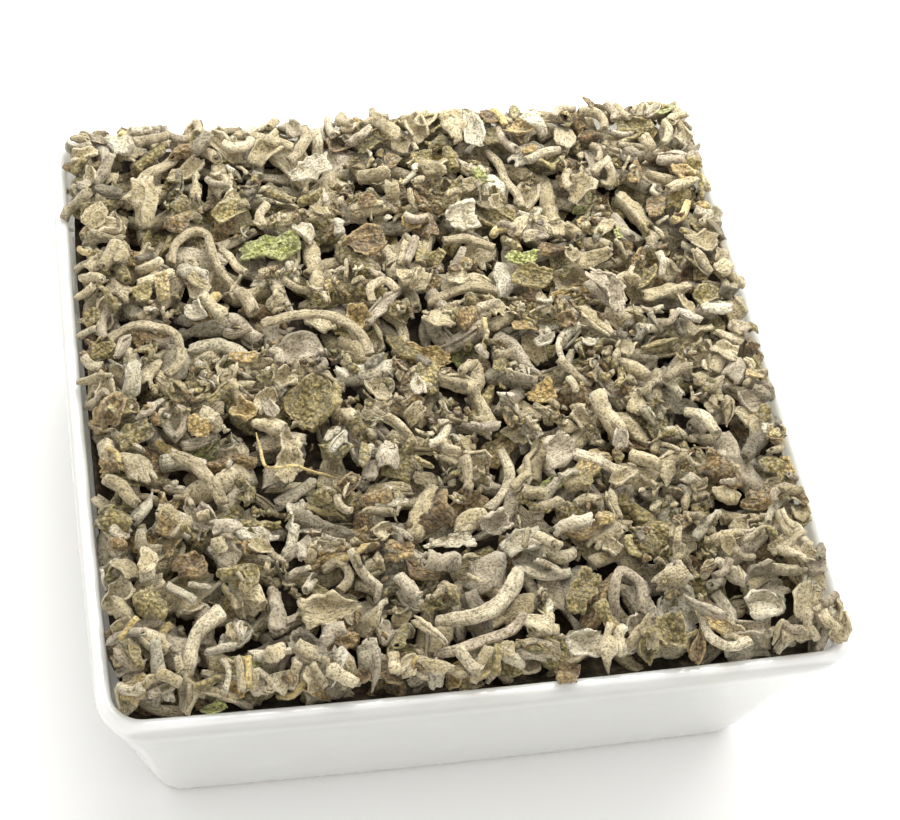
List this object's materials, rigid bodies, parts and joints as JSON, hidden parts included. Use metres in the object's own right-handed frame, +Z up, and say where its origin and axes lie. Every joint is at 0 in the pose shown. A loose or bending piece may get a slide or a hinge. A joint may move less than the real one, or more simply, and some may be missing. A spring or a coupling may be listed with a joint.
{
  "type": "square dish of dried cut sage",
  "caption": "Small square glazed dish with tapered walls and a rounded lip, filled level with dried cut sage: rolled leaf bits, leaf stalks, flakes and curls.",
  "frame": {"origin": "middle of the underside of the dish, on the surface that it stands on", "axes": "+Z up, out of the open top of the dish; +X and +Y along the dish's square sides"},
  "size_m": [0.1, 0.1, 0.0407],
  "materials": {
    "glaze": "gloss",
    "herb_bed": "matte",
    "felt": "matte",
    "mauve": "matte",
    "olive": "matte",
    "brown": "matte",
    "green": "matte",
    "ochre": "matte",
    "pale": "matte",
    "straw": "matte",
    "dark": "matte"
  },
  "bodies": {
    "root": {"dish": "glaze", "sage_bed": "herb_bed", "roll_left": "pale", "roll_upright_back": "felt", "roll_back_right": "felt", "roll_right_wall": "felt", "roll_thick_back": "felt", "roll_bone": "mauve", "roll_centre": "felt", "roll_golden": "brown", "tube_tan": "felt", "cocoon_large": "felt", "cocoon_small": "felt", "roll_dark": "dark", "tube_cream": "pale", "roll_greenish": "olive", "roll_slanting": "felt", "roll_great": "mauve", "roll_tan_green": "olive", "roll_long_right": "felt", "roll_curved_front": "pale", "roll_broad": "felt", "roll_corner": "mauve", "roll_arched": "dark", "roll_mauve_front": "mauve", "cup_left": "olive", "cup_round": "mauve", "curl_right": "mauve", "leaf_crumpled": "mauve", "flake_on_rim": "brown", "flake_green": "green", "flake_brown_back": "brown", "flake_ochre": "ochre", "flake_pale_back": "pale", "flake_gold_mid": "olive", "flake_crescent": "ochre", "flake_front_green": "olive", "flake_boat": "pale", "leaf_tilted": "felt", "petiole_ring": "felt", "petiole_long_arc": "felt", "petiole_loop": "felt", "petiole_bent": "felt", "petiole_back_left": "felt", "petiole_back": "felt", "stalk_back": "felt", "petiole_mid": "felt", "petiole_mid_low": "felt", "petiole_front": "pale", "petiole_curved_right": "pale", "petiole_hook_left": "felt", "petiole_curl_left": "felt", "arc_thick_front": "pale", "arc_lower_front": "mauve", "hairpin_front": "mauve", "hook_front_right": "pale", "stalk_flared": "pale", "stalk_forked_left": "pale", "straw_long": "straw", "stalk_tilted_back": "pale"}
  },
  "joints": []
}
